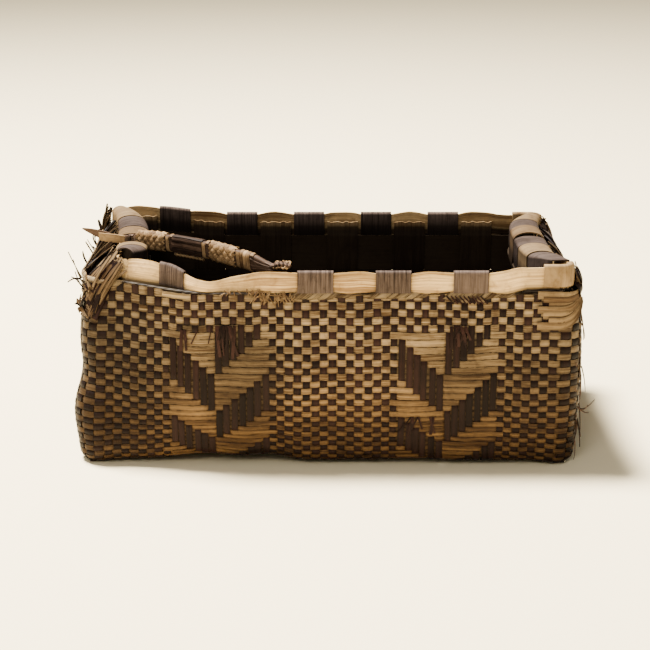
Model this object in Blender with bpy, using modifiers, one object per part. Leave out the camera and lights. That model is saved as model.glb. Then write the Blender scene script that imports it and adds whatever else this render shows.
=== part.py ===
"""A double-walled plaited basket with a bound carrying strap lying across its mouth.

The lining is a plain weave of wide flat splints, and a fine plaited cover stands round it.
X runs along the basket, its front faces -Y, and its flat bottom stands on Z = 0. Metres.
"""
import math

import bmesh
import bpy
from mathutils import Vector

# The whole basket
basket_length = 0.332
basket_depth = 0.178
corner_radius = 0.0155
base_edge_radius = 0.008
wall_bulge = 0.003
fit_gap = 0.0003

# Fine plaited cover with its folded border
cover_thickness = 0.0022
cover_height = 0.1165
border_height = 0.0030
border_thickness = 0.0032

# Lining of wide splints
cross_stake_count = 12
long_stake_count = 6
weaver_count = 4
splint_thickness = 0.0010
splint_gap = 0.0023
lining_gap = 0.0005
stake_end_drop = 0.0030
tucked_rise = 0.0070

# Rim band, the splints folded over it and the loose arches at the ends
band_height = 0.0124
band_thickness = 0.0016
band_lift = 0.0005
arch_rise = 0.0042
arch_lift = 0.0008
wrap_reach_share = 0.93
broken_stake = 3
strap_stake = 2

# How years of use have settled the walls
shoulder_lean = 0.031
rim_lean = 0.013
lean_start = 0.045
rim_pull = 0.015
pull_start = 0.040
rim_drift = 0.006
drift_start = 0.070
drift_end = 0.150
drift_ease = 0.055
base_setback = 0.003
top_setback = 0.020
settled_front_share = 0.9
setback_start = 0.070
corner_tuck = 0.007
tuck_start = 0.030
rim_rise = 0.0035
rise_start = 0.108
rim_dip = 0.0060
dip_place = 0.083
dip_reach = 0.034

# Bound strap: a flat core with coverings along it, laid from the left rim to the front rim
strap_crossing_depth = 0.0020
strap_end_clearance = 0.0127
strap_run_share = 0.81
strap_bow = 0.0030
strap_core_height = 0.0104
strap_core_thickness = 0.0046
strap_neck_height = 0.0050
strap_neck_thickness = 0.0024
strap_neck_length = 0.0080
strap_flare_length = 0.0035
strap_bound_length = 0.1000
strap_bare_length = 0.0130
strap_tip_share = 0.5
strap_covering = 0.0009
strap_ring_spacing = 0.0100
section_round_share = 0.45
hinge_inset = 0.0050
near_braid_share = 0.355
panel_share = 0.340
winding_width = 0.0024
winding_thickness = 0.0006
winding_gap = 0.0005
near_winding_turns = 1
mid_winding_turns = 1
far_winding_turns = 4
tie_width = 0.0012
tie_turns = 2
tie_inset = 0.0016
edging_diameter = 0.0018
edging_rings = 8

# Knotted end of the strap, lying on the front rim
knot_diameter = 0.0040
knot_waist_share = 0.55
knot_count = 6
knot_steps = 4
knot_lead = 0.0060
knot_hump = 0.0010
knot_landing = 0.0004
knot_finish = 0.0069
round_steps = 8

# Light tail and pointed tongue of the strap, outside the left rim
tail_length = 0.0220
tail_swing = 0.0095
tongue_start = 0.0140
tongue_length = 0.0220
tongue_rise = 0.0040
tongue_height = 0.0062
tongue_tip_share = 0.12
tongue_rows = 6

# Fineness of the faceted surfaces
merge_distance = 0.00001
probe_step = 0.0001
probe_share = 0.002
corner_steps = 4
cross_columns = 1
long_columns = 2
edge_steps = 3
fold_steps = 4
arch_steps = 7
cover_rows = 4
section_steps = 3

# Sizes worked out from the ones above
weave_offset = (splint_thickness + fit_gap) / 2
weave_half = weave_offset + splint_thickness / 2
cover_inside = weave_half + lining_gap
cover_outside = cover_inside + cover_thickness
lining_floor = cover_thickness + lining_gap + weave_half
lining_half_length = basket_length / 2 - cover_outside
lining_half_depth = basket_depth / 2 - cover_outside
lining_radius = corner_radius - cover_outside
straight_half_length = lining_half_length - lining_radius
straight_half_depth = lining_half_depth - lining_radius
cross_pitch = 2 * straight_half_length / cross_stake_count
long_pitch = 2 * straight_half_depth / long_stake_count
border_bottom = cover_height + fit_gap
border_top = border_bottom + border_height
band_bottom = border_top + band_lift
band_top = band_bottom + band_height
stake_end = band_bottom - stake_end_drop
weaver_pitch = (stake_end - base_edge_radius) / weaver_count
fold_radius = band_thickness / 2 + fit_gap + splint_thickness / 2
fold_end = border_top + fit_gap

CORNER_SIGNS = ((1, -1), (1, 1), (-1, 1), (-1, -1))
FRONT, RIGHT, BACK, LEFT = range(4)
SIDE_DIRECTIONS = (1, 1, -1, -1)
SIDES = len(CORNER_SIGNS)
STATIONS = 2 * SIDES

# How far each layer leans inward at the ends, and whether the left of it is pulled in
COVER = (0, 0)
LINING = (shoulder_lean, 1)
RIM = (rim_lean, 1)


def finish(name, colour, roughness):
    """Plain material of one colour."""
    material = bpy.data.materials.new(name)
    material.use_nodes = True
    shader = material.node_tree.nodes["Principled BSDF"]
    shader.inputs["Base Color"].default_value = (*colour, 1)
    shader.inputs["Roughness"].default_value = roughness
    shader.inputs["Metallic"].default_value = 0
    material.diffuse_color = (*colour, 1)
    return material


def smooth(value):
    """Ease from 0 to 1, flat at both ends."""
    value = min(max(value, 0), 1)
    return value * value * (3 - 2 * value)


def plan_point(station, half_length, half_depth, radius):
    """Point on a rounded rectangle, counterclockwise from its front-left, two stations a side."""
    side, along = divmod(station % STATIONS, 2)
    side = int(side)
    share = min(along, 1)
    turn = (side - 1 + along - share) * math.pi / 2
    start, end = CORNER_SIGNS[side - 1], CORNER_SIGNS[side]
    centre_x = (start[0] + (end[0] - start[0]) * share) * (half_length - radius)
    centre_y = (start[1] + (end[1] - start[1]) * share) * (half_depth - radius)
    return Vector((centre_x + radius * math.cos(turn), centre_y + radius * math.sin(turn), 0))


def side_station(side, share):
    """Station on a straight side, from -1 to 1 along +X or +Y."""
    return 2 * side + (1 + SIDE_DIRECTIONS[side] * share) / 2


def settle(point, layer):
    """Move a point of the new basket to where use has left it."""
    x, y, z = point
    lean, pulled = layer
    depth_share = y / lining_half_depth
    front = smooth(1 - (1 + depth_share) / settled_front_share)
    top = smooth((z - lean_start) / (band_bottom - lean_start))
    end = 1 - min(abs(depth_share), 1) ** 4
    shift_x = -lean * end * top * (x / lining_half_length) ** 3
    left = smooth((-x - pull_start) / (straight_half_length - pull_start))
    shift_x += pulled * top * left * rim_pull * (1 - depth_share) / 2
    drift = smooth((x + drift_start) / drift_ease) * smooth((drift_end - x) / drift_ease)
    shift_x += pulled * top * front * rim_drift * drift
    far_left = smooth((-x - setback_start) / (lining_half_length - setback_start))
    tuck = smooth((-y - tuck_start) / (lining_half_depth - tuck_start))
    shift_x += corner_tuck * tuck * far_left * z / band_top
    shift_y = (base_setback + top_setback * z / band_top) * far_left * front
    above = smooth((z - rise_start) / (band_bottom - rise_start))
    shift_z = pulled * rim_rise * far_left * front * above
    dip = 1 - smooth(abs(x + dip_place) / dip_reach)
    shift_z -= rim_dip * dip * front * max(z - band_bottom, 0) / band_height
    return Vector((x + shift_x, y + shift_y, z + shift_z))


def wall_surface(station, height, layer):
    """Middle of the lining's wall, bulging between the base and the cover's edge."""
    grow = wall_bulge * math.sin(math.pi * min(height / cover_height, 1))
    half_length, half_depth = lining_half_length + grow, lining_half_depth + grow
    point = plan_point(station, half_length, half_depth, lining_radius + grow)
    point.z = height
    return settle(point, layer)


def wall_normal(station, height, layer):
    """Outward direction of the settled wall."""
    across = wall_surface(station + probe_share, height, layer)
    across -= wall_surface(station - probe_share, height, layer)
    upward = wall_surface(station, height + probe_step, layer)
    upward -= wall_surface(station, height - probe_step, layer)
    return across.cross(upward).normalized()


def wall_point(station, height, offset, layer):
    """Point that stands off the middle of the lining's wall."""
    return wall_surface(station, height, layer) + wall_normal(station, height, layer) * offset


def floor_point(x, y, offset):
    """Point of the lining's floor, whose outward side faces down."""
    return settle(Vector((x, y, lining_floor - offset)), LINING)


def edge_point(station, turn, offset, floor_height, layer):
    """Point on the round edge between floor and wall, from turn 0 at the floor to 1 at the wall."""
    outward = wall_normal(station, base_edge_radius, layer)
    outward.z = 0
    angle = turn * math.pi / 2
    radius = base_edge_radius - floor_height + offset
    point = wall_point(station, base_edge_radius, offset, layer)
    point -= outward.normalized() * radius * (1 - math.sin(angle))
    point.z = base_edge_radius - radius * math.cos(angle)
    return point


def add_part(name, mesh, material):
    """Object for one sub-part, in the basket's collection."""
    mesh.materials.append(material)
    part = bpy.data.objects.new(name, mesh)
    basket.objects.link(part)
    return part


def sheet_mesh(name, rows, closed):
    """Grid whose points take the places in rows."""
    columns = len(rows[0])
    mesh_data = bmesh.new()
    bmesh.ops.create_grid(mesh_data, x_segments=columns - 1, y_segments=len(rows) - 1, size=1)
    for index, vertex in enumerate(mesh_data.verts):
        row, column = divmod(index, columns)
        vertex.co = rows[row][column]
    if closed:
        bmesh.ops.remove_doubles(mesh_data, verts=mesh_data.verts, dist=merge_distance)
    for face in [face for face in mesh_data.faces if len(face.verts) == SIDES]:
        corners = list(face.verts)
        reaches = [math.hypot(*(a.co + b.co).xy) for a, b in zip(corners[:2], corners[2:])]
        first = reaches.index(max(reaches))
        bmesh.utils.face_split(face, corners[first], corners[first + 2])
    mesh = bpy.data.meshes.new(name)
    mesh_data.to_mesh(mesh)
    mesh_data.free()
    return mesh


def bar(name, rings, material):
    """Solid bar through closed rings of points, its two ends filled."""
    mesh = sheet_mesh(name, [ring + [ring[0]] for ring in rings], closed=True)
    solid = bmesh.new()
    solid.from_mesh(mesh)
    bmesh.ops.holes_fill(solid, edges=[edge for edge in solid.edges if edge.is_boundary])
    bmesh.ops.recalc_face_normals(solid, faces=solid.faces)
    solid.to_mesh(mesh)
    solid.free()
    return add_part(name, mesh, material)


def sheet(name, rows, thickness, material, closed=False, side=0):
    """Flat splint or wall: a grid through rows of points, made solid by Solidify."""
    part = add_part(name, sheet_mesh(name, rows, closed), material)
    wall = part.modifiers.new("thickness", "SOLIDIFY")
    wall.thickness = thickness
    wall.offset = side
    wall.use_even_offset = True
    wall.use_quality_normals = True
    return part


def stake_shares(count, pitch, limit, columns):
    """Edges of every stake on a side and any columns between, as shares of its straight half."""
    width = pitch - splint_gap
    offsets = [width * (column / columns - 0.5) for column in range(columns + 1)]
    centres = [(index + 0.5) * pitch - limit for index in range(count)]
    return [[(centre + offset) / limit for offset in offsets] for centre in centres]


def weaver_edges(level):
    """Lower and upper edge of a wall weaver."""
    low = base_edge_radius + level * weaver_pitch + splint_gap / 2
    return low, low + weaver_pitch - splint_gap


def alternate(number):
    """Weave offset: outwards on even numbers and inwards on odd ones."""
    return weave_offset if number % 2 == 0 else -weave_offset


def wall_rows(stations, parity):
    """Rows of a stake up a wall, past one weaver after another, to its cut end."""
    rows = []
    for level in range(weaver_count):
        offset = alternate(parity + level)
        for height in weaver_edges(level):
            rows.append([wall_point(station, height, offset, LINING) for station in stations])
    offset = alternate(parity + weaver_count - 1)
    rows.append([wall_point(station, stake_end, offset, LINING) for station in stations])
    return rows


def edge_rows(stations, floor_offset, wall_offset):
    """Rows round the base edge, from the floor to the wall."""
    rows = []
    for step in range(edge_steps):
        turn = (step + 0.5) / edge_steps
        offset = floor_offset + (wall_offset - floor_offset) * turn
        rows.append([edge_point(station, turn, offset, lining_floor, LINING) for station in stations])
    return rows


def fold_rows(stations, inner_height):
    """Rows up behind the rim band, over its top and down its face."""
    profile = [(0, inner_height)]
    for step in range(fold_steps + 1):
        angle = step / fold_steps * math.pi
        profile.append((fold_radius * (1 - math.cos(angle)), band_top + fold_radius * math.sin(angle)))
    profile.append((2 * fold_radius, fold_end))
    return [[wall_point(s, height, offset, RIM) for s in stations] for offset, height in profile]


def arch_rows(stations):
    """Rows of a loose arch, from the leaning lining out over the rim band at an end."""
    columns = []
    for station in stations:
        inner = wall_point(station, stake_end, 0, LINING)
        outer = wall_point(station, band_top, 2 * fold_radius, RIM)
        outer.z += arch_lift
        inner.z = outer.z
        column = []
        for step in range(arch_steps + 1):
            angle = step / arch_steps * math.pi
            point = inner.lerp(outer, (1 - math.cos(angle)) / 2)
            point.z += arch_rise * math.sin(angle)
            column.append(point)
        column.append(wall_point(station, fold_end, 2 * fold_radius, RIM))
        columns.append(column)
    return [list(row) for row in zip(*columns)]


def half_stake(side, shares, floor_offset, parity, end):
    """Rows of a stake from the base edge up one wall to its end."""
    stations = [side_station(side, share) for share in shares]
    rows = edge_rows(stations, floor_offset, alternate(parity)) + wall_rows(stations, parity)
    if end == "folded":
        rows += fold_rows(stations, band_bottom)
    elif end == "tucked":
        heights = (band_bottom, band_bottom + tucked_rise)
        rows += [[wall_point(station, height, 0, RIM) for station in stations] for height in heights]
    elif end == "arched":
        rows += arch_rows(stations)
    return rows


def stake(name, sides, shares, parities, floor_rows, ends, material):
    """Splint down one wall, across the floor and up the wall opposite."""
    parity, far_parity = parities
    near_rows = half_stake(sides[0], shares, alternate(parity), parity + 1, ends[0])
    far_rows = half_stake(sides[1], shares, alternate(far_parity - 1), far_parity, ends[1])
    return sheet(name, near_rows[::-1] + floor_rows + far_rows, splint_thickness, material)


def all_stations():
    """Stations round the basket at every stake's edges and along the corners."""
    stations = []
    for side in range(SIDES):
        shares = [share for pair in side_shares[side] for share in pair]
        stations += sorted(side_station(side, share) for share in shares)
        stations += [2 * side + 1 + step / corner_steps for step in range(corner_steps + 1)]
    return stations


def wall_stations():
    """Fewer stations, for walls that are flat but near the settled front-left corner."""
    first, last = side_station(FRONT, 0), side_station(LEFT, 0)
    return [s for s in all_stations() if s < first or s > last or s % 2 >= 1 or s % 2 == 0]


def ring_rows(stations, levels):
    """Closed rows of wall points at each (height, offset, layer)."""
    loop = stations + [stations[0]]
    return [[wall_point(s, height, offset, layer) for s in loop] for height, offset, layer in levels]


# Start from an empty scene
for old in list(bpy.data.objects):
    bpy.data.objects.remove(old)
basket = bpy.data.collections.new("basket")
bpy.context.scene.collection.children.link(basket)

fine_weave = finish("fine_weave", (0.30, 0.20, 0.11), 0.7)
light_splint = finish("light_splint", (0.46, 0.33, 0.19), 0.6)
dark_splint = finish("dark_splint", (0.13, 0.085, 0.06), 0.75)
rim_splint = finish("rim_splint", (0.50, 0.37, 0.22), 0.6)
strap_cane = finish("strap_cane", (0.36, 0.26, 0.15), 0.65)
strap_dark = finish("strap_dark", (0.12, 0.08, 0.06), 0.7)

cross_shares = stake_shares(cross_stake_count, cross_pitch, straight_half_length, cross_columns)
long_shares = stake_shares(long_stake_count, long_pitch, straight_half_depth, long_columns)
side_shares = (cross_shares, long_shares, cross_shares, long_shares)

# Cover: one plaited wall and floor, open at the top
cover_stations = wall_stations()
cover_loop = cover_stations + [cover_stations[0]]
cover_levels = [[Vector((0, 0, 0)) for station in cover_loop]]
for step in range(edge_steps):
    turn = step / edge_steps
    cover_levels.append([edge_point(s, turn, cover_outside, cover_outside, COVER) for s in cover_loop])
for row in range(cover_rows + 1):
    height = base_edge_radius + (cover_height - base_edge_radius) * row / cover_rows
    cover_levels.append([wall_point(s, height, cover_outside, COVER) for s in cover_loop])
sheet("outer_cover", cover_levels, cover_thickness, fine_weave, closed=True, side=-1)

# Border: the cover's uprights folded down along its top edge
border_offset = cover_inside + border_thickness / 2
border_levels = [(border_bottom, border_offset, COVER), (border_top, border_offset, COVER)]
sheet("cover_border", ring_rows(cover_stations, border_levels), border_thickness, fine_weave, closed=True)

# Cross stakes: up the front and the back. Every second one is dark and folds over the rim band,
# the light ones end behind it, and the last one ends below the corner wraps
for index, shares in enumerate(cross_shares):
    floor = []
    for crossing, pair in enumerate(long_shares):
        offset = alternate(index + crossing)
        for depth_share in pair:
            y = depth_share * straight_half_depth
            floor.append([floor_point(share * straight_half_length, y, offset) for share in shares])
    dark = index % 2 == 1 and index < cross_stake_count - 1
    ends = ["folded", "folded"] if dark else ["tucked", "tucked"]
    if index == broken_stake:
        ends[0] = "cut"
    elif index == cross_stake_count - 1:
        ends = ["cut", "cut"]
    colour = dark_splint if dark else light_splint
    parities = (index, index + long_stake_count)
    stake(f"cross_stake_{index + 1}", (FRONT, BACK), shares, parities, floor, ends, colour)

# Long stakes: up the two ends, arching over the rim band but where the strap crosses it
for index, shares in enumerate(long_shares):
    floor = []
    for crossing in reversed(range(cross_stake_count)):
        offset = alternate(index + crossing + 1)
        for length_share in reversed(cross_shares[crossing]):
            x = length_share * straight_half_length
            floor.append([floor_point(x, share * straight_half_depth, offset) for share in shares])
    ends = ["arched", "cut" if index == strap_stake else "arched"]
    colour = dark_splint if index % 2 == 1 else light_splint
    parities = (index, index + cross_stake_count)
    stake(f"long_stake_{index + 1}", (RIGHT, LEFT), shares, parities, floor, ends, colour)

# Wall weavers: light rings in and out of the stakes
for level in range(weaver_count):
    places = []
    for side in range(SIDES):
        numbered = list(enumerate(side_shares[side]))
        for index, pair in numbered[::SIDE_DIRECTIONS[side]]:
            parity = index + level + (0 if side in (FRONT, RIGHT) else 1)
            edges = sorted(side_station(side, share) for share in pair)
            places += [(station, alternate(parity)) for station in edges]
        corner = 2 * side + 1
        places += [(corner + (step + 0.5) / edge_steps, 0) for step in range(edge_steps)]
    places.append(places[0])
    rows = []
    for height in weaver_edges(level):
        rows.append([wall_point(station, height, offset, LINING) for station, offset in places])
    sheet(f"wall_weaver_{level + 1}", rows, splint_thickness, light_splint, closed=True)

# Rim band: one wide light splint standing round the mouth
band_levels = [(band_bottom, fold_radius, RIM), (band_top, fold_radius, RIM)]
sheet("rim_band", ring_rows(all_stations(), band_levels), band_thickness, rim_splint, closed=True)

# Light splints folded over the band at the two right corners
turned = [step / corner_steps for step in range(corner_steps)]
front_wrap = [side_station(FRONT, wrap_reach_share)] + [2 * FRONT + 1 + turn for turn in turned]
sheet("corner_wrap_front", fold_rows(front_wrap, band_bottom), splint_thickness, rim_splint)
back_wrap = [2 * BACK - turn for turn in reversed(turned)] + [side_station(BACK, wrap_reach_share)]
sheet("corner_wrap_back", fold_rows(back_wrap, band_bottom), splint_thickness, rim_splint)

# Strap: it starts just inside the left end of the rim band, and its far end lies on the front rim
crossing = side_station(LEFT, -strap_crossing_depth / straight_half_depth)
strap_rest = wall_point(crossing, band_top, fold_radius, RIM)
strap_rest.z += fit_gap + strap_neck_height / 2
bound_start = hinge_inset + strap_neck_length + strap_flare_length
bound_end = bound_start + strap_bound_length
bare_end = bound_end + strap_bare_length
strap_run = bare_end * strap_run_share
forward = strap_rest.y + lining_half_depth - strap_end_clearance
strap_direction = Vector((math.sqrt(bare_end ** 2 - forward ** 2), -forward, 0)).normalized()
strap_up = Vector((0, 0, 1))
strap_side = strap_up.cross(strap_direction)
neck = (strap_neck_height, strap_neck_thickness)
core = (strap_core_height, strap_core_thickness)
tip = (strap_neck_height * strap_tip_share, strap_neck_thickness * strap_tip_share)
core_sections = [
    (hinge_inset, *neck),
    (hinge_inset + strap_neck_length, *neck),
    (bound_start, *core),
    (bound_end, *core),
    (bound_end + strap_flare_length, *neck),
    (bare_end, *tip),
]
section_stations = []
for corner in range(SIDES):
    section_stations += [2 * corner + 1 + step / section_steps for step in range(section_steps + 1)]


def strap_point(distance):
    """Middle of the strap, bowed up between its two rests."""
    share = distance / strap_run
    return strap_rest + strap_direction * distance + strap_up * strap_bow * 4 * share * (1 - share)


def strap_rings(sections):
    """Oval rings across the strap through each (distance, height, thickness)."""
    places = [sections[0]]
    for before, after in zip(sections, sections[1:]):
        steps = max(1, round((after[0] - before[0]) / strap_ring_spacing))
        for step in range(1, steps + 1):
            places.append([a + (b - a) * step / steps for a, b in zip(before, after)])
    rings = []
    for distance, height, thickness in places:
        ring = []
        for station in section_stations:
            place = plan_point(station, thickness / 2, height / 2, thickness * section_round_share)
            ring.append(strap_point(distance) + strap_side * place.x + strap_up * place.y)
        rings.append(ring)
    return rings


def covering(name, start, end, material):
    """Thin tube of plaited or laid cane round the strap's core."""
    size = [measure + 2 * (fit_gap + strap_covering) for measure in core]
    rows = [ring + [ring[0]] for ring in strap_rings([(start, *size), (end, *size)])]
    return sheet(name, rows, strap_covering, material, closed=True, side=-1)


def winding(name, start, turns, width, section, material):
    """Flat cane wound round the strap in one unbroken strip, its turns side by side."""
    stand = fit_gap + winding_thickness / 2
    half_height, half_thickness = section[0] / 2 + stand, section[1] / 2 + stand
    radius = section[1] * section_round_share + stand
    stations = [turn * STATIONS + station for turn in range(turns) for station in section_stations]
    stations.append(turns * STATIONS + section_stations[0])
    rows = []
    for station in stations:
        place = plan_point(station, half_thickness, half_height, radius)
        low = start + (width + winding_gap) * (station - stations[0]) / STATIONS
        across = strap_side * place.x + strap_up * place.y
        rows.append([strap_point(edge) + across for edge in (low, low + width)])
    one_turn = len(section_stations)
    if turns > 1:
        gaps = [(after[0] - before[1]).length for before, after in zip(rows, rows[one_turn:])]
        print(name, "least gap between turns", round(min(gaps), 5))
    return sheet(name, rows, winding_thickness, material)


def winding_length(turns):
    """Length of strap that a winding takes."""
    return turns * (winding_width + winding_gap) + winding_width


def curve_point(points, share):
    """Point on the smooth curve that a few points pull into shape."""
    while len(points) > 1:
        points = [before.lerp(after, share) for before, after in zip(points, points[1:])]
    return points[0]


def round_rings(points, radii):
    """Round rings across a line of points, square to it."""
    rings = []
    for index, point in enumerate(points):
        ahead = points[min(index + 1, len(points) - 1)] - points[max(index - 1, 0)]
        side = ahead.cross(strap_up).normalized()
        up = side.cross(ahead).normalized()
        ring = []
        for step in range(round_steps):
            angle = step / round_steps * 2 * math.pi
            ring.append(point + (side * math.cos(angle) + up * math.sin(angle)) * radii[index])
        rings.append(ring)
    return rings


bar("strap_core", strap_rings(core_sections), strap_dark)

turns = (near_winding_turns, mid_winding_turns, far_winding_turns)
covered = strap_bound_length - sum(winding_length(count) for count in turns) - STATIONS * fit_gap
near_braid = covered * near_braid_share
panel = covered * panel_share
far_braid = covered - near_braid - panel
lengths = (near_braid, winding_length(turns[0]), panel, winding_length(turns[1]), far_braid)
starts = [bound_start]
for length in lengths:
    starts.append(starts[-1] + length + fit_gap)
covering("strap_braid_near", starts[0], starts[0] + near_braid, strap_cane)
covering("strap_panel", starts[2], starts[2] + panel, strap_dark)
covering("strap_braid_far", starts[4], starts[4] + far_braid, strap_cane)
for name, start, count in zip(("near", "mid", "far"), starts[1::2], turns):
    winding(f"strap_winding_{name}", start, count, winding_width, core, strap_cane)
winding("strap_tie", hinge_inset + tie_inset, tie_turns, tie_width, neck, strap_dark)

# Cord laid along the lower edge of the strap's dark panel
edging_radius = edging_diameter / 2
edging_drop = strap_core_height / 2 + strap_covering + 2 * fit_gap + edging_radius
edging_line = []
for step in range(edging_rings + 1):
    distance = starts[2] + panel * step / edging_rings
    edging_line.append(strap_point(distance) - strap_up * edging_drop)
bar("strap_edging", round_rings(edging_line, [edging_radius] * len(edging_line)), strap_cane)

# Knots from the strap's bare end up onto the front rim band
knot_start = strap_point(bare_end) + strap_direction * fit_gap
knot_guides = [knot_start, knot_start + strap_direction * knot_lead]
for ahead, hump in ((knot_landing, knot_hump), (knot_finish, 0)):
    station = side_station(FRONT, (knot_start.x + ahead) / straight_half_length)
    guide = wall_point(station, band_top, fold_radius, RIM)
    guide.z += fold_radius + splint_thickness / 2 + fit_gap + knot_diameter / 2 + hump
    knot_guides.append(guide)
knot_line, knot_radii = [], []
for step in range(knot_count * knot_steps + 1):
    share = step / (knot_count * knot_steps)
    knot_line.append(curve_point(knot_guides, share))
    swell = abs(math.sin(math.pi * knot_count * share))
    knot_radii.append(knot_diameter / 2 * (knot_waist_share + (1 - knot_waist_share) * swell))
bar("strap_end_knots", round_rings(knot_line, knot_radii), strap_dark)

# Tail: the light splint that passes out over the rim band, with the dark tongue lying behind it
tail_start = strap_rest + strap_direction * (hinge_inset - fit_gap)
tail_reach = math.sqrt(tail_length ** 2 - tail_swing ** 2)
outward = Vector((-tail_reach, tail_swing, 0)) / tail_length
half_tail = strap_up * strap_neck_height / 2
tail_end = tail_start + outward * tail_length
tail = [[point - half_tail, point + half_tail] for point in (tail_start, tail_end)]
sheet("strap_tail", tail, splint_thickness, strap_cane)

behind = Vector((tail_swing, tail_reach, 0)) / tail_length * (splint_thickness + fit_gap)
tongue = []
for row in range(tongue_rows + 1):
    share = row / tongue_rows
    middle = tail_start + outward * (tongue_start + tongue_length * share) + behind
    middle += strap_up * tongue_rise * share
    half_height = strap_up * tongue_height / 2 * (1 - (1 - tongue_tip_share) * share ** 2)
    tongue.append([middle - half_height, middle + half_height])
sheet("strap_tongue", tongue, splint_thickness, strap_dark)
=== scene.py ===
import math

import bpy
import numpy as np
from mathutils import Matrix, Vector


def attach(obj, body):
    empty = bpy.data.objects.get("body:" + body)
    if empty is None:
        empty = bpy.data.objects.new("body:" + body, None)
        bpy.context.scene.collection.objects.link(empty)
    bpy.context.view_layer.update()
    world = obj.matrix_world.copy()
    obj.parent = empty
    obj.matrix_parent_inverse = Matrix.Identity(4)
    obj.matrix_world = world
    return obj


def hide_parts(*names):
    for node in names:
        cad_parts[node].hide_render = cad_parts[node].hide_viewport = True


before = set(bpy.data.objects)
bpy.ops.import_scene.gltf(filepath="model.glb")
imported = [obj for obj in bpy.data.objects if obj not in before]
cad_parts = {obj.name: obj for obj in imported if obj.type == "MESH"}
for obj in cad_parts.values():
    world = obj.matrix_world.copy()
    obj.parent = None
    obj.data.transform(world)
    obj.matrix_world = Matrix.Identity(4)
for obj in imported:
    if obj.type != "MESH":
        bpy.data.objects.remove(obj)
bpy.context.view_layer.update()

# Lining
# The inner basket, of wide flat splints in plain weave: twelve stakes from front to back
# and six from end to end cross in the floor and run up the walls, four weavers ring them.
# Years of use have leaned its ends inwards and pushed its front-left corner back.
SIDES = 4
FRONT, RIGHT, BACK, LEFT = range(SIDES)
SIDE_DIRECTIONS = (1, 1, -1, -1)
ROUND = 2 * SIDES

lining_half_length, lining_half_depth, lining_radius = 0.16215, 0.08515, 0.01165
straight_half_length = lining_half_length - lining_radius
straight_half_depth = lining_half_depth - lining_radius
base_edge_radius, wall_bulge, lining_floor = 0.008, 0.003, 0.00385
cover_inside, cover_outside, cover_height = 0.00165, 0.00385, 0.1165
border_top, band_bottom, band_top = 0.1198, 0.1203, 0.1327
stake_end, tucked_rise, fit_gap = 0.1173, 0.0070, 0.0003

# How far years of use have leaned, pulled, set back, raised and dented the walls
shoulder_lean, rim_lean, lean_start = 0.031, 0.013, 0.045
COVER, LINING, RIM = (0, 0), (shoulder_lean, 1), (rim_lean, 1)
rim_pull, pull_start = 0.015, 0.040
rim_drift, drift_start, drift_end, drift_ease = 0.006, -0.070, 0.150, 0.055
base_setback, top_setback, setback_start, settled_front_share = 0.003, 0.020, 0.070, 0.9
corner_tuck, tuck_start = 0.007, 0.030
rise_start, front_left_rise, back_left_rise, front_right_rise = 0.108, 0.0035, 0.0045, 0.0042
dip_place, dip_reach, dip_depth = -0.083, 0.034, 0.006
foot_gap, foot_corner, foot_ease, foot_height = 0.0030, 0.160, 0.030, 0.045
foot_arches = ((-0.080, 0.028, 0.0045), (-0.038, 0.014, 0.0035), (0.058, 0.016, 0.0012))
wall_dents = (
    ((-0.168, -0.075, 0.036), (0.020, 0.045, 0.017), 0.0032),
    ((-0.165, -0.075, 0.062), (0.022, 0.050, 0.014), -0.0028),
    ((-0.040, -0.089, 0.014), (0.030, 0.020, 0.010), -0.0012),
    ((0.090, -0.089, 0.022), (0.045, 0.020, 0.022), 0.0014),
    ((0.168, 0.0, 0.060), (0.020, 0.080, 0.045), 0.0016))
rng = np.random.default_rng(7)


def smooth(value):
    value = np.clip(value, 0, 1)
    return value * value * (3 - 2 * value)


def unit(vectors):
    return vectors / np.linalg.norm(vectors, axis=-1, keepdims=True)


def plan_points(station, half_length, half_depth, radius):
    """Points on a rounded rectangle, two stations a side, counterclockwise from front left."""
    station = np.asarray(station, float) % ROUND
    side = np.floor(station / 2).astype(int)
    along = station - 2 * side
    share = np.minimum(along, 1)
    turn = (side - 1 + along - share) * math.pi / 2
    signs = np.array(((-1, -1), (1, -1), (1, 1), (-1, 1)))
    start, end = signs[side], signs[(side + 1) % SIDES]
    place = start + (end - start) * share[..., None]
    x = place[..., 0] * (half_length - radius) + radius * np.cos(turn)
    return x, place[..., 1] * (half_depth - radius) + radius * np.sin(turn)


def lining_plan(station, grow=0):
    return plan_points(station, lining_half_length + grow, lining_half_depth + grow, lining_radius + grow)


def foot_lift(x, y, z):
    """How far the foot of the front has come off the ground, in shallow arches."""
    rise = foot_gap * smooth((foot_corner - np.abs(x)) / foot_ease)
    for centre, reach, more in foot_arches:
        rise += more * np.exp(-((x - centre) / reach) ** 2)
    return rise * smooth((-y - 0.050) / 0.035) * smooth(1 - z / foot_height)


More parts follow.
